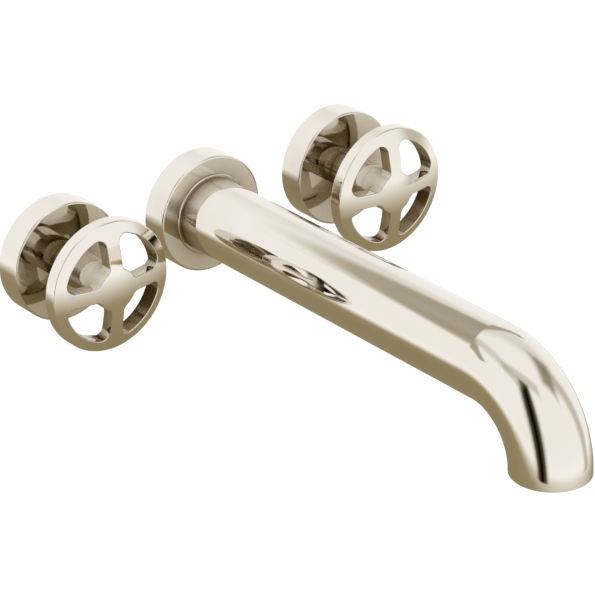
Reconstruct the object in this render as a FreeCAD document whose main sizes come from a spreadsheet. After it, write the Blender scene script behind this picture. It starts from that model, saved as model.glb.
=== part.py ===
# Wall mounted bath faucet: a long bent tube spout between two quarter-turn valves with wheels.
# Frame: the wall is the plane y = 0, the faucet stands out towards -Y, +Z is up and the
# origin is on the spout's axis at the wall. Most pieces are turned parts: they are drawn
# about their own Z axis, where Z is the distance out from the wall, and then laid along -Y.

import FreeCAD, Part
import math
import os
import re
import Sketcher

# Driving sizes in millimetres. "out" is a distance from the wall, and behind it is negative.
SIZES = [
    ("valve_centres", 203.2, "between the two valve axes"),
    ("escutcheon_radius", 35.5, "all three wall covers"),
    ("side_escutcheon_depth", 16.3, "how far a valve's cover stands out"),
    ("spout_escutcheon_depth", 16.6, "how far the spout's cover stands out"),
    ("escutcheon_wall", 2.0, "side wall of the cup"),
    ("escutcheon_face", 4.0, "front wall of the cup"),
    ("escutcheon_rounding", 1.2, "front edge of the cup"),
    ("escutcheon_play", 0.1, "radial play of a cup on its tube"),
    ("lip_width", 2.2, "raised ring around the spout on its cup"),
    ("lip_rise", 0.9, "how far that ring stands proud"),
    ("lip_rounding", 0.72, "outer edge of that ring"),
    ("gasket_thickness", 2.0, "soft ring between cup and wall"),
    ("gasket_width", 4.5, "radial width of that ring"),
    ("gasket_play", 0.2, "between the gasket and the cup's side wall"),
    ("cup_ring_section", 0.75, "section radius of the o-ring in a cup"),
    ("ring_play", 0.05, "between an o-ring and its groove"),
    ("sleeve_radius", 11.3, "neck between cover and wheel"),
    ("sleeve_wall", 1.9, "wall of the neck"),
    ("thread_play", 0.1, "radial play in a thread drawn plain"),
    ("nose_radius", 10.4, "threaded nose of the headwork, G 1/2"),
    ("nose_length", 14.0, "how far the nose reaches behind the wall"),
    ("disc_cavity_radius", 8.3, "bore of the nose around the ceramic discs"),
    ("cavity_end", -4.0, "front end of that bore, out"),
    ("hex_across_flats", 24.0, "spanner hexagon of the headwork"),
    ("hex_back", 1.0, "back face of the hexagon, out"),
    ("hex_front", 7.0, "front face of the hexagon, out"),
    ("collar_front", 20.0, "end of the headwork's sleeve thread, out"),
    ("barrel_radius", 7.8, "slim front barrel of the headwork"),
    ("headwork_front", 38.0, "front face of the headwork, out"),
    ("port_width", 8.0, "side port in the nose, across"),
    ("port_length", 3.6, "side port in the nose, along the axis"),
    ("port_inset", 1.0, "side port to the end of the cavity"),
    ("seal_thickness", 3.0, "seat seal along the axis"),
    ("seal_stand", 1.0, "how far the seat seal stands out of the nose"),
    ("seal_bore", 5.6, "waterway radius of the seat seal"),
    ("fixed_disc_thickness", 2.6, "ceramic disc held in the nose"),
    ("moving_disc_thickness", 3.0, "ceramic disc turned by the spindle"),
    ("disc_play", 0.25, "radial play of the fixed disc"),
    ("disc_gap", 0.05, "film between pieces that turn on each other"),
    ("disc_hole_radius", 2.1, "each of two waterway holes in a disc"),
    ("disc_hole_offset", 4.4, "those holes from the axis"),
    ("moving_disc_play", 0.5, "radial play of the moving disc"),
    ("tongue_width", 3.0, "bar on the spindle that turns the disc"),
    ("tongue_height", 1.2, "that bar along the axis"),
    ("tongue_play", 0.1, "between the bar and its slot, each side"),
    ("foot_thickness", 1.9, "spindle's foot along the axis"),
    ("spindle_radius", 4.0, "spindle's shaft"),
    ("running_play", 0.05, "radial play of the spindle in its bore"),
    ("groove_back", 10.0, "first o-ring groove on the spindle, out"),
    ("groove_pitch", 6.0, "first groove to second"),
    ("spindle_ring_section", 0.6, "section radius of the spindle's o-rings"),
    ("groove_slack", 0.1, "extra groove width at each side of an o-ring"),
    ("clip_gap", 0.25, "headwork's front face to the clip"),
    ("clip_thickness", 0.7, "spring clip along the axis"),
    ("clip_radius", 5.8, "outside of the spring clip"),
    ("clip_seat", 3.3, "bottom of the clip's groove"),
    ("clip_mouth", 3.6, "open side of the clip"),
    ("square_back", 41.0, "back of the spindle's square end, out"),
    ("square_side", 5.6, "spindle's square end, across"),
    ("square_front", 51.0, "front of the spindle's square end, out"),
    ("square_play", 0.1, "between the square and the adapter, each side"),
    ("adapter_radius", 8.4, "stem adapter inside the wheel's hub"),
    ("adapter_front", 57.0, "front face of the adapter, out"),
    ("adapter_web", 2.5, "adapter's wall under the screw's head"),
    ("screw_radius", 1.5, "handle screw's thread"),
    ("screw_head_radius", 3.0, "handle screw's head"),
    ("screw_head_height", 2.3, "handle screw's head along the axis"),
    ("screw_reach", 9.5, "handle screw below its head"),
    ("screw_key", 2.5, "hexagon socket of the handle screw, across"),
    ("wheel_radius", 38.7, "outside of the rim"),
    ("rim_width", 6.7, "rim's face, in to the windows"),
    ("rim_depth", 8.108, "outside of the rim, front to back"),
    ("dome_radius", 105.0, "sphere of the wheel's front"),
    ("dome_top", 64.8, "highest point of that dome, out"),
    ("web_thickness", 7.8, "spokes, front to back"),
    ("spoke_width", 8.4, "each of the four spokes"),
    ("hub_radius", 12.4, "hub's barrel"),
    ("hub_back", 47.2, "back face of the hub, out"),
    ("hub_gap", 0.6, "hub's back face to the sleeve"),
    ("hub_bore_end", 57.6, "bottom of the hub's bore, out"),
    ("hub_bore_play", 0.05, "radial play of the adapter in the hub"),
    ("window_outer_rounding", 4.8, "window corners at the rim"),
    ("window_inner_rounding", 4.2, "window corners at the hub"),
    ("rim_rounding", 1.0, "outer edges of the rim"),
    ("window_softening", 0.5, "front edge around each window"),
    ("set_screw_out", 51.5, "wheel's set screw, out"),
    ("set_screw_radius", 2.0, "wheel's set screw"),
    ("set_screw_recess", 0.5, "how deep it sits in the hub"),
    ("set_screw_key", 2.0, "hexagon socket, across"),
    ("key_depth", 1.6, "depth of every hexagon socket"),
    ("spout_radius", 22.4, "outside of the spout tube"),
    ("spout_wall", 2.0, "wall of the spout tube"),
    ("spout_straight", 259.5, "straight run of the tube, out"),
    ("bend_radius", 46.1, "centre line of the bend at the end"),
    ("outlet_wall", 1.2, "tube's wall left around the bore in its end"),
    ("outlet_depth", 6.0, "depth of that straight bore"),
    ("outlet_recess", 0.3, "outlet ring above the tube's end"),
    ("outlet_ring_height", 4.5, "outlet ring along the axis"),
    ("outlet_ring_wall", 4.6, "wall of the outlet ring"),
    ("outlet_lip", 1.2, "lip that carries the straightener"),
    ("straightener_height", 3.2, "flow straightener along the axis"),
    ("straightener_play", 0.15, "radial play of the straightener"),
    ("straightener_hole", 1.7, "each of its holes"),
    ("straightener_pitch", 4.8, "from one ring of holes to the next"),
    ("adapter_play", 0.1, "radial play of the spout on its adapter"),
    ("spout_adapter_length", 42.0, "brass plug inside the tube"),
    ("inlet_bore", 9.3, "thread of the plug, G 1/2, minor radius"),
    ("inlet_depth", 15.0, "depth of that thread"),
    ("inlet_relief", 0.3, "radial relief at the thread's end, around the washer"),
    ("waterway_radius", 7.5, "waterway through the plug"),
    ("inlet_washer_height", 2.0, "washer at the bottom of the thread"),
    ("inlet_washer_lip", 1.0, "how far that washer reaches into the waterway"),
    ("spout_ring_section", 1.0, "section radius of the spout's o-rings"),
    ("spout_ring_back", 31.0, "first o-ring on the plug, out"),
    ("spout_ring_pitch", 6.0, "first o-ring to second"),
    ("spout_screw_out", 22.0, "spout's set screw, out"),
    ("spout_screw_radius", 3.0, "spout's set screw"),
    ("spout_screw_groove", 1.8, "depth of the groove that it enters"),
    ("spout_screw_slack", 0.5, "extra groove width at each side of the screw"),
    ("spout_screw_key", 3.0, "hexagon socket, across"),
    ("overshoot", 1.0, "how far a cut or a joined pad runs past the face that it meets"),
]

SIDES = {"hot": "-valve_centres / 2", "cold": "valve_centres / 2"}
# Radius of the straight bore in the tube's end, and of the ring's bore inside it.
outlet_bore = "(spout_radius - outlet_wall)"
ring_bore = "(spout_radius - outlet_wall - outlet_ring_wall)"

doc = FreeCAD.newDocument("WallBathFaucet")
sheet = doc.addObject("Spreadsheet::Sheet", "Sizes")
for row, (alias, value, note) in enumerate(SIZES, start=1):
    sheet.set("A%d" % row, alias)
    sheet.set("B%d" % row, str(value))
    sheet.setAlias("B%d" % row, alias)
    sheet.set("C%d" % row, note)
doc.recompute()

ALIASES = {alias for alias, value, note in SIZES}


# An expression over the sizes, written with their plain names.
def bound(words):
    def prefixed(match):
        word = match.group(0)
        return "Sizes." + word if word in ALIASES else word
    return re.sub(r"[a-z_]+", prefixed, words)


def amount(words):
    return float(sheet.evalExpression(bound(words)))


# A body that lies along -Y from the point (across, 0, 0) of the wall.
def outward_body(label, across="0"):
    body = doc.addObject("PartDesign::Body", label)
    body.Placement = FreeCAD.Placement(
        FreeCAD.Vector(0, 0, 0), FreeCAD.Rotation(FreeCAD.Vector(1, 0, 0), 90))
    body.setExpression("Placement.Base.x", bound(across))
    return body


# A body that stands up from the middle of the spout's outlet.
def outlet_body(label):
    body = doc.addObject("PartDesign::Body", label)
    body.setExpression("Placement.Base.y", bound("-(spout_straight + bend_radius)"))
    body.setExpression("Placement.Base.z", bound("-bend_radius"))
    return body


def new_sketch(body, role, offset="0"):
    plane = next(item for item in body.Origin.OriginFeatures if item.Role == role)
    sketch = body.newObject("Sketcher::SketchObject", body.Label + "_sketch")
    sketch.AttachmentSupport = [(plane, "")]
    sketch.MapMode = "FlatFace"
    sketch.setExpression("AttachmentOffset.Base.z", bound(offset))
    return sketch


def constrain(sketch, kind, places, words):
    index = sketch.addConstraint(Sketcher.Constraint(kind, *places, amount(words)))
    sketch.setExpression("Constraints[%d]" % index, bound(words))


# Closed outline through corners (radius, out). A corner with no out lies on an arc: arcs
# maps the number of the side that is one to its (centre's out, radius), centred on the axis.
def draw_outline(sketch, corners, arcs=None):
    arcs = arcs or {}
    points = []
    for number, (across, along) in enumerate(corners):
        x = amount(across)
        if along is None:
            side = number if number in arcs else (number - 1) % len(corners)
            centre, radius = [amount(words) for words in arcs[side]]
            y = centre + math.sqrt(radius ** 2 - x ** 2)
        else:
            y = amount(along)
        points.append(FreeCAD.Vector(x, y, 0))
    for number, start in enumerate(points):
        end = points[(number + 1) % len(points)]
        if number in arcs:
            centre, radius = [amount(words) for words in arcs[number]]
            middle = FreeCAD.Vector((start.x + end.x) / 2, 0, 0)
            middle.y = centre + math.sqrt(radius ** 2 - middle.x ** 2)
            right, left = (start, end) if start.x > end.x else (end, start)
            sketch.addGeometry(Part.Arc(right, middle, left), False)
        else:
            sketch.addGeometry(Part.LineSegment(start, end), False)

    # An arc runs anticlockwise inside a sketch, so one drawn left to right has its ends swapped.
    def ends(number):
        end = points[(number + 1) % len(points)]
        return (2, 1) if number in arcs and points[number].x < end.x else (1, 2)

    for number, (across, along) in enumerate(corners):
        before = (number - 1) % len(corners)
        start = ends(number)[0]
        sketch.addConstraint(
            Sketcher.Constraint("Coincident", before, ends(before)[1], number, start))
        constrain(sketch, "DistanceX", (-1, 1, number, start), across)
        if along is not None:
            constrain(sketch, "DistanceY", (-1, 1, number, start), along)
    for number, (centre, radius) in arcs.items():
        sketch.addConstraint(Sketcher.Constraint("PointOnObject", number, 3, -2))
        constrain(sketch, "DistanceY", (-1, 1, number, 3), centre)
        constrain(sketch, "Radius", (number,), radius)


def draw_circle(sketch, radius, centre=("0", "0")):
    where = FreeCAD.Vector(amount(centre[0]), amount(centre[1]), 0)
    number = sketch.addGeometry(
        Part.Circle(where, FreeCAD.Vector(0, 0, 1), amount(radius)), False)
    constrain(sketch, "DistanceX", (-1, 1, number, 3), centre[0])
    constrain(sketch, "DistanceY", (-1, 1, number, 3), centre[1])
    constrain(sketch, "Radius", (number,), radius)


# Regular polygon around the origin, given its distance across flats.
def draw_polygon(sketch, sides, across):
    apothem = "(%s) / 2" % across
    reach = "%s / cos(180 / %d)" % (apothem, sides)
    turns = [(2 * number + 1) * 180 / sides for number in range(sides)]
    corners = [("%s * cos(%g)" % (reach, turn), "%s * sin(%g)" % (reach, turn))
               for turn in turns]
    draw_outline(sketch, corners)


def draw_rectangle(sketch, low, high):
    draw_outline(sketch, [low, (high[0], low[1]), high, (low[0], high[1])])


def revolve(body, corners, arcs=None, kind="PartDesign::Revolution"):
    sketch = new_sketch(body, "XZ_Plane")
    draw_outline(sketch, corners, arcs)
    feature = body.newObject(kind, body.Label + "_turned")
    feature.Profile = sketch
    feature.ReferenceAxis = (sketch, ["V_Axis"])
    feature.Angle = 360
    doc.recompute()
    return feature


# O-rings: one round section each, turned about the axis.
def turn_rings(body, centre_radius, section, places):
    sketch = new_sketch(body, "XZ_Plane")
    for place in places:
        draw_circle(sketch, section, (centre_radius, place))
    feature = body.newObject("PartDesign::Revolution", body.Label + "_turned")
    feature.Profile = sketch
    feature.ReferenceAxis = (sketch, ["V_Axis"])
    feature.Angle = 360
    doc.recompute()


# Cuts the sketch's shape out of the body, and makes sure that something was cut.
def cut(body, sketch, depth=None, backwards=False):
    before = body.Shape.Volume
    pocket = body.newObject("PartDesign::Pocket", body.Label + "_cut")
    pocket.Profile = sketch
    pocket.Reversed = backwards
    if depth is None:
        pocket.Type = "ThroughAll"
    else:
        pocket.setExpression("Length", bound(depth))
    doc.recompute()
    if before - body.Shape.Volume < 1e-3:
        raise ValueError("nothing was cut from " + body.Label)
    return pocket


def repeat_round(body, feature, count):
    pattern = body.newObject("PartDesign::PolarPattern", body.Label + "_pattern")
    pattern.Originals = [feature]
    axis = next(item for item in body.Origin.OriginFeatures if item.Role == "Z_Axis")
    pattern.Axis = (axis, [""])
    pattern.Angle = 360
    pattern.Occurrences = count
    body.Tip = pattern
    doc.recompute()


def round_edges(body, radius, wanted):
    base = body.Tip
    names = ["Edge%d" % number for number, edge in enumerate(base.Shape.Edges, start=1)
             if wanted(edge)]
    fillet = body.newObject("PartDesign::Fillet", body.Label + "_rounding")
    fillet.Base = (base, names)
    fillet.setExpression("Radius", bound(radius))
    doc.recompute()


# Places along an edge: its two ends and three between them.
def spots(edge):
    first, last = edge.ParameterRange
    return [edge.valueAt(first + part * (last - first)) for part in (0, 0.2, 0.5, 0.8, 1)]


# True for an edge around the axis at this radius, and at this height if one is given.
def is_circle(edge, radius, height=None):
    places = spots(edge)
    level = places[0].z if height is None else height
    return all(abs(math.hypot(spot.x, spot.y) - radius) < 0.01
               and abs(spot.z - level) < 0.01 for spot in places)


# True for an edge parallel to the axis at this radius.
def is_upright(edge, radius):
    places = spots(edge)
    return places[0].distanceToPoint(places[-1]) > 0.01 and all(
        abs(math.hypot(spot.x, spot.y) - radius) < 0.01
        and math.hypot(spot.x - places[0].x, spot.y - places[0].y) < 0.01 for spot in places)


def make_escutcheon(name, across, depth, tube, lip):
    body = outward_body(name, across)
    bore = tube + " + escutcheon_play"
    inner = "escutcheon_radius - escutcheon_wall"
    back = "%s - escutcheon_face" % depth
    corners = [("escutcheon_radius", "0"), ("escutcheon_radius", depth)]
    if lip:
        corners += [(bore + " + lip_width", depth), (bore + " + lip_width", depth + " + lip_rise"),
                    (bore, depth + " + lip_rise")]
    else:
        corners += [(bore, depth)]
    middle = "%s - escutcheon_face / 2" % depth
    half = "(cup_ring_section + groove_slack)"
    floor = "%s + 2 * cup_ring_section + 2 * ring_play" % tube
    corners += [(bore, "%s + %s" % (middle, half)), (floor, "%s + %s" % (middle, half)),
                (floor, "%s - %s" % (middle, half)), (bore, "%s - %s" % (middle, half)),
                (bore, back), (inner, back), (inner, "0")]
    revolve(body, corners)
    edge_radius, face = amount("escutcheon_radius"), amount(depth)
    round_edges(body, "escutcheon_rounding", lambda edge: is_circle(edge, edge_radius, face))
    if lip:
        lip_radius, top = amount(bore + " + lip_width"), amount(depth + " + lip_rise")
        round_edges(body, "lip_rounding", lambda edge: is_circle(edge, lip_radius, top))


def make_cup_seals(name, across, depth, tube):
    outer = "escutcheon_radius - escutcheon_wall - gasket_play"
    gasket = outward_body(name + "_escutcheon_gasket", across)
    draw = [(outer + " - gasket_width", "0"), (outer, "0"),
            (outer, "gasket_thickness"), (outer + " - gasket_width", "gasket_thickness")]
    revolve(gasket, draw)
    ring = outward_body(name + "_escutcheon_o_ring", across)
    turn_rings(ring, tube + " + cup_ring_section + ring_play", "cup_ring_section",
               [depth + " - escutcheon_face / 2"])


def make_sleeve(side, across):
    body = outward_body(side + "_valve_sleeve", across)
    inner, front = "sleeve_radius - sleeve_wall", "hub_back - hub_gap"
    revolve(body, [(inner, "hex_front"), ("sleeve_radius", "hex_front"),
                   ("sleeve_radius", front), (inner, front)])


def make_headwork(side, across):
    body = outward_body(side + "_headwork_body", across)
    bore = "spindle_radius + running_play"
    collar = "sleeve_radius - sleeve_wall - thread_play"
    revolve(body, [
        ("disc_cavity_radius", "-nose_length"), ("nose_radius", "-nose_length"),
        ("nose_radius", "hex_back"), (collar, "hex_back"), (collar, "collar_front"),
        ("barrel_radius", "collar_front"), ("barrel_radius", "headwork_front"),
        (bore, "headwork_front"), (bore, "cavity_end"), ("disc_cavity_radius", "cavity_end")])
    hexagon = new_sketch(body, "XY_Plane", "hex_back")
    draw_polygon(hexagon, 6, "hex_across_flats")
    draw_circle(hexagon, bore + " + overshoot")
    pad = body.newObject("PartDesign::Pad", body.Label + "_hexagon")
    pad.Profile = hexagon
    pad.setExpression("Length", bound("hex_front - hex_back"))
    doc.recompute()
    # Side ports let the water out of the nose, behind the moving disc's front face.
    ports = new_sketch(body, "XZ_Plane")
    draw_rectangle(ports, ("-port_width / 2", "cavity_end - port_length - port_inset"),
                   ("port_width / 2", "cavity_end - port_inset"))
    cut(body, ports).Midplane = True
    doc.recompute()


def make_discs(side, across):
    seal_front = "(-nose_length - seal_stand + seal_thickness)"
    fixed_front = "(%s + fixed_disc_thickness)" % seal_front
    moving_back = "(%s + disc_gap)" % fixed_front
    moving_front = "(%s + moving_disc_thickness)" % moving_back
    fixed_radius = "disc_cavity_radius - disc_play"
    moving_radius = "disc_cavity_radius - moving_disc_play"
    seal = outward_body(side + "_seat_seal", across)
    revolve(seal, [("seal_bore", "-nose_length - seal_stand"),
                   (fixed_radius, "-nose_length - seal_stand"),
                   (fixed_radius, seal_front), ("seal_bore", seal_front)])
    fixed = outward_body(side + "_fixed_ceramic_disc", across)
    revolve(fixed, [("0", seal_front), (fixed_radius, seal_front),
                    (fixed_radius, fixed_front), ("0", fixed_front)])
    moving = outward_body(side + "_moving_ceramic_disc", across)
    revolve(moving, [("0", moving_back), (moving_radius, moving_back),
                     (moving_radius, moving_front), ("0", moving_front)])
    # Shut, the holes of the two discs are a quarter turn apart.
    for body, first, second in [
            (fixed, ("disc_hole_offset", "0"), ("-disc_hole_offset", "0")),
            (moving, ("0", "disc_hole_offset"), ("0", "-disc_hole_offset"))]:
        holes = new_sketch(body, "XY_Plane")
        draw_circle(holes, "disc_hole_radius", first)
        draw_circle(holes, "disc_hole_radius", second)
        cut(body, holes)
    slot = new_sketch(moving, "XY_Plane", moving_front)
    half = "(tongue_width / 2 + tongue_play)"
    draw_rectangle(slot, ("-disc_cavity_radius", "-" + half), ("disc_cavity_radius", half))
    cut(moving, slot, "tongue_height + tongue_play")
    return moving_front


def make_spindle(side, across, disc_front):
    body = outward_body(side + "_spindle", across)
    foot_back = "(%s + disc_gap)" % disc_front
    foot_front = "(%s + foot_thickness)" % foot_back
    foot_radius = "disc_cavity_radius - moving_disc_play"
    floor = "(spindle_radius - 2 * spindle_ring_section - ring_play)"
    half = "(spindle_ring_section + groove_slack)"
    corners = [("0", foot_back), (foot_radius, foot_back), (foot_radius, foot_front),
               ("spindle_radius", foot_front)]
    for place in ("groove_back", "groove_back + groove_pitch"):
        low, high = "%s - %s" % (place, half), "%s + %s" % (place, half)
        corners += [("spindle_radius", low), (floor, low), (floor, high), ("spindle_radius", high)]
    clip_back = "headwork_front + clip_gap"
    clip_front = clip_back + " + clip_thickness"
    corners += [("spindle_radius", clip_back), ("clip_seat", clip_back),
                ("clip_seat", clip_front), ("spindle_radius", clip_front),
                ("spindle_radius", "square_back"), ("0", "square_back")]
    revolve(body, corners)
    square = new_sketch(body, "XY_Plane", "square_back")
    draw_polygon(square, 4, "square_side")
    pad = body.newObject("PartDesign::Pad", body.Label + "_square")
    pad.Profile = square
    pad.setExpression("Length", bound("square_front - square_back"))
    doc.recompute()
    tongue = new_sketch(body, "XY_Plane", foot_back)
    reach = "(disc_cavity_radius - 2 * moving_disc_play)"
    draw_rectangle(tongue, ("-" + reach, "-tongue_width / 2"), (reach, "tongue_width / 2"))
    bar = body.newObject("PartDesign::Pad", body.Label + "_tongue")
    bar.Profile = tongue
    bar.Reversed = True
    bar.setExpression("Length", bound("tongue_height"))
    doc.recompute()
    screw_hole = new_sketch(body, "XY_Plane", "square_front")
    draw_circle(screw_hole, "screw_radius + running_play")
    cut(body, screw_hole, "screw_reach")


def make_spindle_rings(side, across):
    rings = outward_body(side + "_spindle_o_rings", across)
    turn_rings(rings, "spindle_radius - spindle_ring_section", "spindle_ring_section",
               ["groove_back", "groove_back + groove_pitch"])
    clip = outward_body(side + "_spindle_clip", across)
    clip_back = "headwork_front + clip_gap"
    clip_front = clip_back + " + clip_thickness"
    inner = "clip_seat + running_play"
    revolve(clip, [(inner, clip_back), ("clip_radius", clip_back),
                   ("clip_radius", clip_front), (inner, clip_front)])
    mouth = new_sketch(clip, "XY_Plane", clip_front)
    draw_rectangle(mouth, ("-clip_mouth / 2", "0"), ("clip_mouth / 2", "clip_radius + overshoot"))
    cut(clip, mouth, "2 * clip_thickness")


def make_adapter(side, across):
    body = outward_body(side + "_stem_adapter", across)
    head_seat = "(square_front + adapter_web)"
    hole, counterbore = "screw_radius + thread_play", "screw_head_radius + thread_play"
    revolve(body, [
        (hole, "square_back"), ("adapter_radius", "square_back"),
        ("adapter_radius", "adapter_front"), (counterbore, "adapter_front"),
        (counterbore, head_seat), (hole, head_seat)])
    square = new_sketch(body, "XY_Plane", "square_back")
    draw_polygon(square, 4, "square_side + 2 * square_play")
    cut(body, square, "square_front - square_back + square_play", backwards=True)


def make_handle_screw(side, across):
    body = outward_body(side + "_handle_screw", across)
    seat = "(square_front + adapter_web)"
    top = "(%s + screw_head_height)" % seat
    tip = "(%s - screw_reach)" % seat
    revolve(body, [("0", tip), ("screw_radius", tip), ("screw_radius", seat),
                   ("screw_head_radius", seat), ("screw_head_radius", top), ("0", top)])
    key = new_sketch(body, "XY_Plane", top)
    draw_polygon(key, 6, "screw_key")
    cut(body, key, "key_depth")


# A window is bounded by the rim, the hub and two spokes, in the first quadrant.
def draw_window(sketch):
    half, outer, inner = "spoke_width / 2", "wheel_radius - rim_width", "hub_radius"
    edge, far, near = amount(half), amount(outer), amount(inner)
    far_reach, near_reach = math.sqrt(far ** 2 - edge ** 2), math.sqrt(near ** 2 - edge ** 2)
    corners = [FreeCAD.Vector(*spot, 0) for spot in [
        (far_reach, edge), (edge, far_reach), (edge, near_reach), (near_reach, edge)]]
    diagonal = math.sqrt(0.5)
    rim_middle = FreeCAD.Vector(far * diagonal, far * diagonal, 0)
    hub_middle = FreeCAD.Vector(near * diagonal, near * diagonal, 0)
    sketch.addGeometry(Part.Arc(corners[0], rim_middle, corners[1]), False)
    sketch.addGeometry(Part.LineSegment(corners[1], corners[2]), False)
    sketch.addGeometry(Part.Arc(corners[3], hub_middle, corners[2]), False)
    sketch.addGeometry(Part.LineSegment(corners[3], corners[0]), False)
    for places in [(0, 2, 1, 1), (1, 2, 2, 2), (2, 1, 3, 1), (3, 2, 0, 1),
                   (0, 3, -1, 1), (2, 3, -1, 1)]:
        sketch.addConstraint(Sketcher.Constraint("Coincident", *places))
    sketch.addConstraint(Sketcher.Constraint("Vertical", 1))
    sketch.addConstraint(Sketcher.Constraint("Horizontal", 3))
    constrain(sketch, "Radius", (0,), outer)
    constrain(sketch, "Radius", (2,), inner)
    constrain(sketch, "DistanceX", (-1, 1, 1, 1), half)
    constrain(sketch, "DistanceY", (-1, 1, 3, 1), half)


def make_wheel(side, across):
    body = outward_body(side + "_wheel", across)
    bore, rim_inner = "adapter_radius + hub_bore_play", "wheel_radius - rim_width"
    centre = "dome_top - dome_radius"
    rim_back = "%s + sqrt(dome_radius ^ 2 - wheel_radius ^ 2) - rim_depth" % centre
    revolve(body, [
        (bore, "hub_back"), ("hub_radius", "hub_back"), ("hub_radius", None),
        (rim_inner, None), (rim_inner, rim_back), ("wheel_radius", rim_back),
        ("wheel_radius", None), ("0", None), ("0", "hub_bore_end"), (bore, "hub_bore_end")],
        {2: (centre, "dome_radius - web_thickness"), 6: (centre, "dome_radius")})
    window = new_sketch(body, "XY_Plane", "hub_back")
    draw_window(window)
    pocket = cut(body, window, backwards=True)
    repeat_round(body, pocket, 4)
    rim_corner, hub_corner = amount(rim_inner), amount("hub_radius")
    round_edges(body, "window_outer_rounding", lambda edge: is_upright(edge, rim_corner))
    round_edges(body, "window_inner_rounding", lambda edge: is_upright(edge, hub_corner))
    outside = amount("wheel_radius")
    round_edges(body, "rim_rounding", lambda edge: is_circle(edge, outside))
    dome_centre = FreeCAD.Vector(0, 0, amount(centre))
    dome = amount("dome_radius")

    round_edges(body, "window_softening", lambda edge: all(
        abs(spot.distanceToPoint(dome_centre) - dome) < 0.01
        and 1 < math.hypot(spot.x, spot.y) < outside - 2 for spot in spots(edge)))
    # The set screw enters the hub from below.
    hole = new_sketch(body, "XZ_Plane")
    draw_circle(hole, "set_screw_radius + running_play", ("0", "set_screw_out"))
    cut(body, hole, "hub_radius + overshoot", backwards=True)


# Grub screw with its socket outwards, drawn along -Y of its own frame.
def make_grub(body, radius, low, high, place, key):
    sketch = new_sketch(body, "XZ_Plane", low)
    draw_circle(sketch, radius, ("0", place))
    pad = body.newObject("PartDesign::Pad", body.Label + "_shank")
    pad.Profile = sketch
    pad.setExpression("Length", bound("(%s) - (%s)" % (high, low)))
    doc.recompute()
    socket = new_sketch(body, "XZ_Plane", high)
    reach = "(%s) / 2 / cos(30)" % key
    draw_outline(socket, [("%s * cos(%d)" % (reach, turn), "%s + %s * sin(%d)" % (place, reach, turn))
                          for turn in range(30, 390, 60)])
    cut(body, socket, "key_depth")


def make_wheel_screw(side, across):
    body = outward_body(side + "_wheel_set_screw", across)
    make_grub(body, "set_screw_radius", "adapter_radius + hub_bore_play",
              "hub_radius - set_screw_recess", "set_screw_out", "set_screw_key")


def make_spout_tube():
    body = doc.addObject("PartDesign::Body", "spout_tube")
    profile = new_sketch(body, "XZ_Plane")
    draw_circle(profile, "spout_radius")
    draw_circle(profile, "spout_radius - spout_wall")
    path = new_sketch(body, "YZ_Plane")
    straight, bend = amount("spout_straight"), amount("bend_radius")
    turn = bend * math.sqrt(0.5)
    start, knee = FreeCAD.Vector(0, 0, 0), FreeCAD.Vector(-straight, 0, 0)
    middle = FreeCAD.Vector(-straight - turn, turn - bend, 0)
    end = FreeCAD.Vector(-straight - bend, -bend, 0)
    path.addGeometry(Part.LineSegment(start, knee), False)
    path.addGeometry(Part.Arc(knee, middle, end), False)
    path.addConstraint(Sketcher.Constraint("Coincident", 0, 1, -1, 1))
    path.addConstraint(Sketcher.Constraint("Coincident", 0, 2, 1, 1))
    path.addConstraint(Sketcher.Constraint("Horizontal", 0))
    constrain(path, "DistanceX", (-1, 1, 1, 1), "-spout_straight")
    constrain(path, "DistanceX", (-1, 1, 1, 3), "-spout_straight")
    constrain(path, "Radius", (1,), "bend_radius")
    constrain(path, "DistanceY", (-1, 1, 1, 2), "-bend_radius")
    pipe = body.newObject("PartDesign::AdditivePipe", "spout_tube_pipe")
    pipe.Profile = profile
    pipe.Spine = path
    doc.recompute()
    # The end is bored straight for the outlet ring.
    bore = new_sketch(body, "XY_Plane", "-bend_radius")
    draw_circle(bore, outlet_bore, ("0", "-(spout_straight + bend_radius)"))
    cut(body, bore, "outlet_depth", backwards=True)
    hole = new_sketch(body, "XY_Plane")
    draw_circle(hole, "spout_screw_radius + running_play", ("0", "-spout_screw_out"))
    cut(body, hole)


def make_spout_adapter():
    body = outward_body("spout_adapter")
    radius = "spout_radius - spout_wall - adapter_play"
    groove = "(%s - spout_screw_groove)" % radius
    screw_half = "(spout_screw_radius + spout_screw_slack)"
    corners = [("inlet_bore", "0"), (radius, "0"),
               (radius, "spout_screw_out - " + screw_half),
               (groove, "spout_screw_out - " + screw_half),
               (groove, "spout_screw_out + " + screw_half),
               (radius, "spout_screw_out + " + screw_half)]
    floor = "(spout_radius - spout_wall - adapter_play - 2 * spout_ring_section - ring_play)"
    half = "(spout_ring_section + groove_slack)"
    for place in ("spout_ring_back", "spout_ring_back + spout_ring_pitch"):
        low, high = "%s - %s" % (place, half), "%s + %s" % (place, half)
        corners += [(radius, low), (floor, low), (floor, high), (radius, high)]
    relief, washer_back = "inlet_bore + inlet_relief", "inlet_depth - inlet_washer_height"
    corners += [(radius, "spout_adapter_length"), ("waterway_radius", "spout_adapter_length"),
                ("waterway_radius", "inlet_depth"), (relief, "inlet_depth"),
                (relief, washer_back), ("inlet_bore", washer_back)]
    revolve(body, corners)
    rings = outward_body("spout_o_rings")
    turn_rings(rings, "spout_radius - spout_wall - adapter_play - spout_ring_section",
               "spout_ring_section", ["spout_ring_back", "spout_ring_back + spout_ring_pitch"])
    washer = outward_body("spout_inlet_washer")
    inside, outside = "waterway_radius - inlet_washer_lip", relief + " - thread_play"
    revolve(washer, [(inside, washer_back), (outside, washer_back),
                     (outside, "inlet_depth"), (inside, "inlet_depth")])
    screw = outward_body("spout_set_screw")
    make_grub(screw, "spout_screw_radius", groove + " + ring_play",
              "spout_radius - set_screw_recess", "spout_screw_out", "spout_screw_key")


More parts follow.
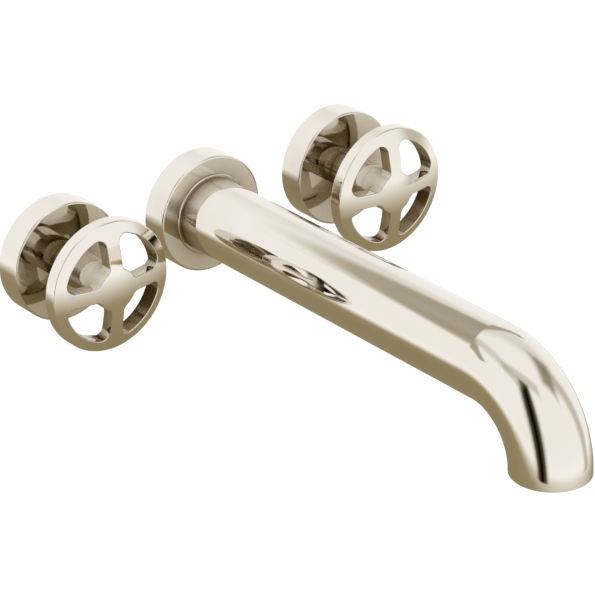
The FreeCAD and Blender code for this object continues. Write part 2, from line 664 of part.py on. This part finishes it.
def make_outlet():
    ring_top = "(outlet_recess + outlet_ring_height)"
    washer = outlet_body("outlet_washer")
    outside = outlet_bore + " - thread_play"
    revolve(washer, [(ring_bore, ring_top), (outside, ring_top),
                     (outside, "outlet_depth"), (ring_bore, "outlet_depth")])
    ring = outlet_body("outlet_ring")
    lip_top = "(outlet_recess + outlet_lip)"
    revolve(ring, [
        (ring_bore + " - outlet_lip", "outlet_recess"), (outside, "outlet_recess"),
        (outside, ring_top), (ring_bore, ring_top),
        (ring_bore, lip_top), (ring_bore + " - outlet_lip", lip_top)])
    disc = outlet_body("flow_straightener")
    radius, top = ring_bore + " - straightener_play", lip_top + " + straightener_height"
    revolve(disc, [("0", lip_top), (radius, lip_top), (radius, top), ("0", top)])
    centre = new_sketch(disc, "XY_Plane")
    draw_circle(centre, "straightener_hole")
    cut(disc, centre, backwards=True)
    for ring_number in (1, 2, 3):
        hole = new_sketch(disc, "XY_Plane")
        draw_circle(hole, "straightener_hole",
                    ("%d * straightener_pitch" % ring_number, "0"))
        repeat_round(disc, cut(disc, hole, backwards=True), 6 * ring_number)


for side, across in SIDES.items():
    make_escutcheon(side + "_escutcheon", across, "side_escutcheon_depth", "sleeve_radius", False)
    make_cup_seals(side, across, "side_escutcheon_depth", "sleeve_radius")
    make_sleeve(side, across)
    make_headwork(side, across)
    disc_front = make_discs(side, across)
    make_spindle(side, across, disc_front)
    make_spindle_rings(side, across)
    make_adapter(side, across)
    make_handle_screw(side, across)
    make_wheel(side, across)
    make_wheel_screw(side, across)
make_escutcheon("spout_escutcheon", "0", "spout_escutcheon_depth", "spout_radius", True)
make_cup_seals("spout", "0", "spout_escutcheon_depth", "spout_radius")
make_spout_tube()
make_spout_adapter()
make_outlet()
doc.recompute()

for item in doc.Objects:
    if "Invalid" in item.State or "Error" in item.State:
        raise ValueError("%s is %s" % (item.Label, item.State))
bodies = [item for item in doc.Objects if item.TypeId == "PartDesign::Body"]
for body in bodies:
    if body.Shape.isNull() or not body.Shape.isValid():
        raise ValueError(body.Label + " has no valid shape")
os.makedirs("parts", exist_ok=True)
for body in bodies:
    body.Shape.exportStep("parts/%s.step" % body.Label)
print(len(bodies), "pieces written")
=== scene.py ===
import bpy, bmesh, math
from mathutils import Matrix, Vector


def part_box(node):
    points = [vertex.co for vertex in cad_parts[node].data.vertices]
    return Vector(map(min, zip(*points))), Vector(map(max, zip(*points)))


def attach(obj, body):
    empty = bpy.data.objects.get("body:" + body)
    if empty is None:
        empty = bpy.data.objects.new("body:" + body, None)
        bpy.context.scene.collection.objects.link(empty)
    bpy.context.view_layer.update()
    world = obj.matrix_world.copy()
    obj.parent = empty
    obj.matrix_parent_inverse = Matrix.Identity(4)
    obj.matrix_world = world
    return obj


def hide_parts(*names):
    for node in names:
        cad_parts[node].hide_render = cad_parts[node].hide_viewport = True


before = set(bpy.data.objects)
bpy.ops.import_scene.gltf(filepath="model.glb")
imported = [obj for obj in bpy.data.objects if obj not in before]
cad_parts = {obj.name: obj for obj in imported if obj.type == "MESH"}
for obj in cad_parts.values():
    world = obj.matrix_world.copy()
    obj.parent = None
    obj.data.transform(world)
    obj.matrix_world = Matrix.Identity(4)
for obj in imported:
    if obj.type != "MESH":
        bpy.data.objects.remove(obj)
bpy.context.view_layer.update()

scene = bpy.context.scene
print("frame loaded:", len(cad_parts), "nodes")


# A socket in a node tree that takes part in ordinary sums. A wire with no socket only makes nodes.
class Wire:
    def __init__(self, tree, socket=None):
        self.tree, self.socket = tree, socket

    # any node: its settings first, then values or links on its inputs
    def node(self, kind, settings=None, inputs=None, output=0):
        made = self.tree.nodes.new(kind)
        for key, value in (settings or {}).items():
            setattr(made, key, value)
        for key, value in (inputs or {}).items():
            if isinstance(value, Wire):
                self.tree.links.new(value.socket, made.inputs[key])
            else:
                made.inputs[key].default_value = value
        return Wire(self.tree, made.outputs[output]) if len(made.outputs) else None

    def sum(self, kind, *terms):
        return self.node("ShaderNodeMath", {"operation": kind}, dict(enumerate(terms)))

    def __add__(self, other):
        return self.sum("ADD", self, other)

    def __rsub__(self, other):
        return self.sum("SUBTRACT", other, self)

    def __mul__(self, other):
        return self.sum("MULTIPLY", self, other)

    def __pow__(self, other):
        return self.sum("POWER", self, other)

    def blend(self, low, high):  # colour between two, by this wire
        return self.node("ShaderNodeMix", {"data_type": "RGBA"}, {0: self, 6: low, 7: high}, output=2)

    def part(self, name):  # another output of the node that this wire comes from
        return Wire(self.tree, self.socket.node.outputs[name])


def emptyMaterial(name):
    material = bpy.data.materials.new(name)
    material.use_nodes = True
    material.node_tree.nodes.clear()
    return material, Wire(material.node_tree)


def opaque(colour):
    return (*colour, 1.0)


# The one place where an object's finish is put together: what varies over it comes in as wires.
def finishedSurface(start, colour, roughness, height, bumpDepth, fixed):
    bump = start.node("ShaderNodeBump", None, {"Height": height, "Strength": 1.0, "Distance": bumpDepth})
    inputs = {"Base Color": colour, "Roughness": roughness, "Normal": bump}
    inputs.update(fixed)
    shader = start.node("ShaderNodeBsdfPrincipled", None, inputs)
    start.node("ShaderNodeOutputMaterial", None, {"Surface": shader})


def noise(start, place, scale, detail=2.0):
    return start.node("ShaderNodeTexNoise", None, {"Vector": place, "Scale": scale, "Detail": detail})


# its last five values paint shade into the nickel's colour where it is closed in
nickelFinish = {
    "colour": (0.885, 0.845, 0.785), "hazeColour": (0.82, 0.77, 0.69), "roughness": 0.03,
    "hazeRoughness": 0.035, "hazeScale": 26.0, "hazeDetail": 4.0, "orangePeelScale": 160.0,
    "polishScale": 2600.0, "polishShare": 0.05, "depth": 0.0000025, "paintedShadeColour": (0.25, 0.19, 0.09),
    "paintedShadeReach": 0.05, "paintedShadeStart": 0.35, "paintedShadeEnd": 0.97, "paintedShadeSamples": 8}


def polishedNickel():
    f = nickelFinish
    material, start = emptyMaterial("polishedNickel")
    place = start.node("ShaderNodeTexCoord", output="Object")
    haze = noise(start, place, f["hazeScale"], f["hazeDetail"])
    peel = noise(start, place, f["orangePeelScale"])
    polish = noise(start, place, f["polishScale"])
    unshadedNickel = haze.blend(opaque(f["colour"]), opaque(f["hazeColour"]))
    # painted shade: where it is closed in, between wheel, neck and cover, the nickel is darkened towards a
    # dark brown by how little open space is around it
    openness = start.node("ShaderNodeAmbientOcclusion", {"samples": f["paintedShadeSamples"]}, {
        "Distance": f["paintedShadeReach"]}, output="AO")
    outOfPaintedShade = start.node("ShaderNodeMapRange", {"interpolation_type": "SMOOTHSTEP"}, {
        "Value": openness, "From Min": f["paintedShadeStart"], "From Max": f["paintedShadeEnd"]})
    finishedSurface(
        start, outOfPaintedShade.blend(opaque(f["paintedShadeColour"]), unshadedNickel),
        haze * f["hazeRoughness"] + f["roughness"], peel + polish * f["polishShare"], f["depth"],
        {"Metallic": 1.0})
    return material


# Turned metal: fine rings around the axis, which the cutter leaves along the piece.
turning = {"ringWander": 1.5, "ringDetail": 2.0, "cloudDetail": 4.0, "roughnessSpread": 0.15}


def turnedMetal(name, finish):
    material, start = emptyMaterial(name)
    place = start.node("ShaderNodeTexCoord", output="Object")
    rings = start.node("ShaderNodeTexWave", {"bands_direction": "Y"}, {
        "Vector": place, "Scale": finish["ringScale"],
        "Distortion": turning["ringWander"], "Detail": turning["ringDetail"]})
    cloud = noise(start, place, finish["cloudScale"], turning["cloudDetail"])
    finishedSurface(
        start, cloud.blend(opaque(finish["colour"]), opaque(finish["dullColour"])),
        cloud * turning["roughnessSpread"] + finish["roughness"], rings, finish["ringDepth"],
        {"Metallic": 1.0})
    return material


brassFinish = {
    "colour": (0.72, 0.51, 0.22), "dullColour": (0.55, 0.37, 0.16), "roughness": 0.22,
    "ringScale": 320.0, "cloudScale": 60.0, "ringDepth": 0.00001}
steelFinish = {
    "colour": (0.60, 0.60, 0.61), "dullColour": (0.44, 0.44, 0.46), "roughness": 0.28,
    "ringScale": 520.0, "cloudScale": 90.0, "ringDepth": 0.000006}

rubberFinish = {
    "colour": (0.022, 0.022, 0.024), "bloomColour": (0.055, 0.054, 0.052), "roughness": 0.62,
    "roughnessSpread": 0.2, "grainScale": 900.0, "grainDetail": 3.0, "bloomScale": 70.0, "bloomDetail": 5.0,
    "bloomPower": 2.0, "grainDepth": 0.00003, "shine": 0.4}


def mouldedRubber():
    f = rubberFinish
    material, start = emptyMaterial("mouldedRubber")
    place = start.node("ShaderNodeTexCoord", output="Object")
    bloom = noise(start, place, f["bloomScale"], f["bloomDetail"])
    grain = noise(start, place, f["grainScale"], f["grainDetail"])
    finishedSurface(
        start, (bloom ** f["bloomPower"]).blend(opaque(f["colour"]), opaque(f["bloomColour"])),
        grain * f["roughnessSpread"] + f["roughness"], grain, f["grainDepth"],
        {"Specular IOR Level": f["shine"]})
    return material


ceramicFinish = {
    "colour": (0.86, 0.84, 0.78), "speckColour": (0.74, 0.71, 0.63), "roughness": 0.12,
    "roughnessSpread": 0.08, "speckScale": 420.0, "speckPower": 3.0, "lapScale": 1500.0,
    "lapDepth": 0.000002}


def lappedCeramic():
    f = ceramicFinish
    material, start = emptyMaterial("lappedCeramic")
    place = start.node("ShaderNodeTexCoord", output="Object")
    speck = start.node("ShaderNodeTexVoronoi", None, {"Vector": place, "Scale": f["speckScale"]})
    lap = noise(start, place, f["lapScale"])
    finishedSurface(
        start, (speck ** f["speckPower"]).blend(opaque(f["colour"]), opaque(f["speckColour"])),
        lap * f["roughnessSpread"] + f["roughness"], lap, f["lapDepth"], {})
    return material


plasticFinish = {
    "colour": (0.62, 0.63, 0.64), "flowColour": (0.54, 0.55, 0.56), "roughness": 0.34,
    "roughnessSpread": 0.12, "flowScale": 55.0, "flowDetail": 3.0, "skinScale": 1100.0, "skinDetail": 3.0,
    "skinDepth": 0.000008}


def mouldedPlastic():
    f = plasticFinish
    material, start = emptyMaterial("mouldedPlastic")
    place = start.node("ShaderNodeTexCoord", output="Object")
    flow = noise(start, place, f["flowScale"], f["flowDetail"])
    skin = noise(start, place, f["skinScale"], f["skinDetail"])
    finishedSurface(
        start, flow.blend(opaque(f["colour"]), opaque(f["flowColour"])),
        skin * f["roughnessSpread"] + f["roughness"], skin, f["skinDepth"], {})
    return material


finishes = {
    "nickel": polishedNickel(), "brass": turnedMetal("turnedBrass", brassFinish),
    "steel": turnedMetal("blackSteel", steelFinish), "rubber": mouldedRubber(),
    "ceramic": lappedCeramic(), "plastic": mouldedPlastic()}

# Which finish a piece has, by the end of its name; the rest are polished nickel.
finishByPiece = {
    "headwork_body": "brass", "spindle": "brass", "stem_adapter": "brass", "spout_adapter": "brass",
    "screw": "steel", "clip": "steel", "gasket": "rubber", "o_ring": "rubber", "o_rings": "rubber",
    "washer": "rubber", "seat_seal": "rubber", "ceramic_disc": "ceramic", "flow_straightener": "plastic"}


def dressNodes():
    for name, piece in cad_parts.items():
        kind = next((finish for ending, finish in finishByPiece.items() if name.endswith(ending)), "nickel")
        if not piece.data.materials:
            piece.data.materials.append(finishes[kind])
        for number in range(len(piece.material_slots)):
            piece.material_slots[number].material = finishes[kind]


dressNodes()
print("finishes set:", len(finishes))

def finishedMesh(name, shape):
    mesh = bpy.data.meshes.new(name)
    shape.to_mesh(mesh)
    shape.free()
    return mesh


# The wheel's crown is a shallow dome that is smooth across its middle. Two corners are the same
# one when they agree to a part in keyScale of a metre; skin is how near a corner on the dome lies to it.
crown = {
    "domeRadius": 0.105, "domeTop": 0.0648, "middle": 0.012, "merge": 0.000001, "keyScale": 1e6,
    "skin": 0.00002}


def cornerKey(*places):
    return tuple(round(value * crown["keyScale"]) for place in places for value in place)


# each corner's shading, found again by the middle of its triangle and its own place
def cornerShading(mesh):
    shading = {}
    for face in mesh.polygons:
        for loop in face.loop_indices:
            spot = mesh.vertices[mesh.loops[loop].vertex_index].co
            shading[cornerKey(face.center, spot)] = mesh.corner_normals[loop].vector.copy()
    return shading


def mergedCopy(name, source):
    shape = bmesh.new()
    shape.from_mesh(source)
    bmesh.ops.remove_doubles(shape, verts=shape.verts, dist=crown["merge"])
    mesh = finishedMesh(name, shape)
    mesh.shade_smooth()
    return mesh


# the true dome at the wheel's middle, and the wheel's own shading everywhere else
def crownNormals(mesh, shading, heart):
    normals = [corner.vector.copy() for corner in mesh.corner_normals]
    for face in mesh.polygons:
        for loop in face.loop_indices:
            spot = mesh.vertices[mesh.loops[loop].vertex_index].co
            normals[loop] = shading.get(cornerKey(face.center, spot), normals[loop])
            outward = spot - heart
            onDome = abs(outward.length - crown["domeRadius"]) < crown["skin"]
            if onDome and math.hypot(outward.x, outward.z) < crown["middle"]:
                normals[loop] = outward.normalized()
    return normals


def smoothWheel(side):
    name = side + "_wheel"
    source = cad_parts[name].data
    low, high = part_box(name)
    heart = Vector(((low[0] + high[0]) / 2, crown["domeRadius"] - crown["domeTop"], (low[2] + high[2]) / 2))
    mesh = mergedCopy(side + "SmoothWheel", source)
    mesh.normals_split_custom_set(crownNormals(mesh, cornerShading(source), heart))
    mesh.materials.append(finishes["nickel"])
    wheel = bpy.data.objects.new(side + "SmoothWheel", mesh)
    scene.collection.objects.link(wheel)
    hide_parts(name)
    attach(wheel, side + "_handle")


for side in ("hot", "cold"):
    smoothWheel(side)
print("wheels smoothed")

# The studio: a white room, a pale floor far below, and cards that only the metal reflects.
# Directions are in degrees: turn from +X towards +Y, and rise above the horizon.
studio = {
    "heart": (0.0, -0.15, 0.0), "floorLevel": -0.75, "floorSize": 14.0, "floorColour": 0.86,
    "floorGlow": 0.24, "roomLight": 0.9, "lampTurn": 250.0, "lampRise": 62.0, "lampReach": 1.9,
    "lampSize": 1.3, "lampPower": 9.0}

groundCard = {
    "name": "groundCard", "radius": 3.1, "level": -0.73, "shift": (-0.1, 0.4), "segments": 96,
    "colour": (0.31, 0.258, 0.145), "rimColour": (0.48, 0.41, 0.265), "softness": 0.85, "gain": 1.4,
    "cover": 1.0}

# turn, rise, width and height in degrees as seen from the object
cards = [
    {"name": "darkFlag", "turn": 212.5, "rise": 0.0, "width": 38.0, "height": 120.0,
     "colour": (0.003, 0.002, 0.001), "rimColour": (0.30, 0.245, 0.13), "softness": 1.0, "gain": 1.6,
     "cover": 1.0},
    {"name": "backRail", "turn": 88.0, "rise": 50.0, "width": 108.0, "height": 15.0,
     "colour": (0.32, 0.27, 0.165), "rimColour": (0.45, 0.40, 0.28), "softness": 0.9, "gain": 1.5,
     "cover": 0.8},
    {"name": "flagHead", "turn": 214.0, "rise": 60.0, "width": 58.0, "height": 24.0,
     "colour": (0.42, 0.38, 0.28), "rimColour": (0.55, 0.50, 0.38), "softness": 1.0, "gain": 1.2,
     "cover": 0.55},
    {"name": "backCorner", "turn": 158.0, "rise": 56.0, "width": 70.0, "height": 24.0,
     "colour": (0.42, 0.38, 0.28), "rimColour": (0.55, 0.50, 0.38), "softness": 1.0, "gain": 1.2,
     "cover": 0.45},
    {"name": "sidePost", "turn": 331.0, "rise": 12.0, "width": 34.0, "height": 90.0,
     "colour": (0.36, 0.31, 0.20), "rimColour": (0.5, 0.45, 0.33), "softness": 1.0, "gain": 1.2,
     "cover": 0.6},
    {"name": "sideCrown", "turn": 327.0, "rise": 50.0, "width": 52.0, "height": 38.0,
     "colour": (0.24, 0.20, 0.12), "rimColour": (0.5, 0.45, 0.33), "softness": 1.0, "gain": 1.3,
     "cover": 0.85},
    {"name": "greyVeil", "turn": 20.0, "rise": 52.0, "width": 90.0, "height": 60.0,
     "colour": (0.42, 0.40, 0.36), "rimColour": (0.6, 0.58, 0.52), "softness": 1.0, "gain": 1.2,
     "cover": 0.35}]
cardReach = 1.7


def direction(turn, rise):
    turn, rise = math.radians(turn), math.radians(rise)
    return Vector((math.cos(turn) * math.cos(rise), math.sin(turn) * math.cos(rise), math.sin(rise)))


# 1 for what the camera, the metal and glass see, 0 for the light that falls on things
def seenDirectly(start):
    path = start.node("ShaderNodeLightPath")
    seen = path.part("Is Camera Ray") + path.part("Is Glossy Ray") + path.part("Is Transmission Ray")
    return seen.sum("MINIMUM", seen, 1.0)


def whiteRoom():
    world = bpy.data.worlds.new("studioRoom")
    scene.world = world
    world.use_nodes = True
    world.node_tree.nodes.clear()
    start = Wire(world.node_tree)
    strength = seenDirectly(start) * (1.0 - studio["roomLight"]) + studio["roomLight"]
    white = start.node("ShaderNodeBackground", None, {"Color": (1, 1, 1, 1), "Strength": strength})
    start.node("ShaderNodeOutputWorld", None, {"Surface": white})


def stagePiece(name, mesh, material):
    piece = bpy.data.objects.new(name, mesh)
    scene.collection.objects.link(piece)
    mesh.materials.append(material)
    return piece


def sheetMesh(name, width, height):
    shape = bmesh.new()
    bmesh.ops.create_grid(shape, x_segments=1, y_segments=1, size=0.5)
    bmesh.ops.scale(shape, vec=(width, height, 1), verts=shape.verts)
    return finishedMesh(name, shape)


def discMesh(name, radius, segments):
    shape = bmesh.new()
    bmesh.ops.create_circle(shape, cap_ends=True, segments=segments, radius=radius)
    return finishedMesh(name, shape)


def paleFloor():
    material, start = emptyMaterial("paleFloor")
    shade = studio["floorColour"]
    paint = start.node("ShaderNodeBsdfDiffuse", None, {"Color": (shade, shade, shade, 1)})
    glow = start.node("ShaderNodeEmission", None, {
        "Color": (1, 1, 1, 1), "Strength": seenDirectly(start) * studio["floorGlow"]})
    both = start.node("ShaderNodeAddShader", None, {0: paint, 1: glow})
    start.node("ShaderNodeOutputMaterial", None, {"Surface": both})
    size = studio["floorSize"]
    floor = stagePiece("floor", sheetMesh("floor", size, size), material)
    floor.location.z = studio["floorLevel"]


# A card glows in its own colour and fades out at its edges through its rim colour. It lights nothing.
def cardPaint(card, isRound=False):
    material, start = emptyMaterial(card["name"])
    place = start.node("ShaderNodeTexCoord", output="Generated")
    centred = start.node("ShaderNodeVectorMath", {"operation": "MULTIPLY_ADD"}, {
        0: place, 1: (2, 2, 0), 2: (-1, -1, 0)})
    if isRound:
        near = 1.0 - start.node("ShaderNodeVectorMath", {"operation": "LENGTH"}, {0: centred}, output="Value")
    else:
        sides = start.node("ShaderNodeSeparateXYZ", None, {0: centred})
        across = 1.0 - sides.sum("ABSOLUTE", sides)
        along = 1.0 - sides.sum("ABSOLUTE", sides.part("Y"))
        narrow = min(card["width"], card["height"])
        near = across.sum("MINIMUM", across * (card["width"] / narrow), along * (card["height"] / narrow))
    mask = start.node("ShaderNodeMapRange", {"interpolation_type": "SMOOTHSTEP"}, {
        "Value": near, "From Min": 0.0, "From Max": card["softness"]})
    colour = mask.blend(opaque(card["rimColour"]), opaque(card["colour"]))
    clear = start.node("ShaderNodeBsdfTransparent")
    glow = start.node("ShaderNodeEmission", None, {"Color": colour, "Strength": 1.0})
    cover = mask.sum("MINIMUM", mask * card["gain"], 1.0) * card["cover"]
    mixed = start.node("ShaderNodeMixShader", None, {0: cover, 1: clear, 2: glow})
    start.node("ShaderNodeOutputMaterial", None, {"Surface": mixed})
    return material


def reflectedOnly(piece):
    piece.visible_camera = False
    piece.visible_diffuse = False
    piece.visible_shadow = False


def spread(degrees):  # how wide a card is that fills this angle
    return 2 * cardReach * math.tan(math.radians(degrees) / 2)


def placeCards():
    heart = Vector(studio["heart"])
    for card in cards:
        mesh = sheetMesh(card["name"], spread(card["width"]), spread(card["height"]))
        piece = stagePiece(card["name"], mesh, cardPaint(card))
        way = direction(card["turn"], card["rise"])
        piece.location = heart + way * cardReach
        piece.rotation_euler = way.to_track_quat("Z", "Y").to_euler()
        reflectedOnly(piece)
    g = groundCard
    mesh = discMesh(g["name"], g["radius"], g["segments"])
    ground = stagePiece(g["name"], mesh, cardPaint(g, isRound=True))
    ground.location = (heart.x + g["shift"][0], heart.y + g["shift"][1], g["level"])
    reflectedOnly(ground)


def softLamp():
    lamp = bpy.data.lights.new("softLamp", "AREA")
    lamp.shape, lamp.size, lamp.energy = "DISK", studio["lampSize"], studio["lampPower"]
    holder = bpy.data.objects.new("softLamp", lamp)
    scene.collection.objects.link(holder)
    way = direction(studio["lampTurn"], studio["lampRise"])
    holder.location = Vector(studio["heart"]) + way * studio["lampReach"]
    holder.rotation_euler = way.to_track_quat("Z", "Y").to_euler()
    holder.visible_camera = False
    holder.visible_glossy = False


whiteRoom()
paleFloor()
placeCards()
softLamp()
print("studio set:", len(cards) + 1, "cards")

view = {
    "turn": -38.83, "tilt": 26.28, "roll": -0.43, "distance": 1.8318,
    "target": (0.07732, 0.0, -0.08525), "lens": 180.5, "sensor": 36.0,
    "farthest": 20.0}


def aimCamera():
    turn, tilt, roll = [math.radians(view[key]) for key in ("turn", "tilt", "roll")]
    back = Vector((math.sin(turn) * math.cos(tilt), -math.cos(turn) * math.cos(tilt), math.sin(tilt)))
    right = (-back).cross(Vector((0, 0, 1))).normalized()
    up = right.cross(-back)
    across = math.cos(roll) * right + math.sin(roll) * up
    above = -math.sin(roll) * right + math.cos(roll) * up
    lens = bpy.data.cameras.new("studioCamera")
    lens.lens, lens.sensor_width, lens.clip_end = view["lens"], view["sensor"], view["farthest"]
    camera = bpy.data.objects.new("studioCamera", lens)
    scene.collection.objects.link(camera)
    spot = Vector(view["target"]) + back * view["distance"]
    camera.matrix_world = Matrix((
        (across.x, above.x, back.x, spot.x), (across.y, above.y, back.y, spot.y),
        (across.z, above.z, back.z, spot.z), (0, 0, 0, 1)))
    scene.camera = camera


aimCamera()
scene.view_settings.view_transform = "Standard"
print("camera aimed")
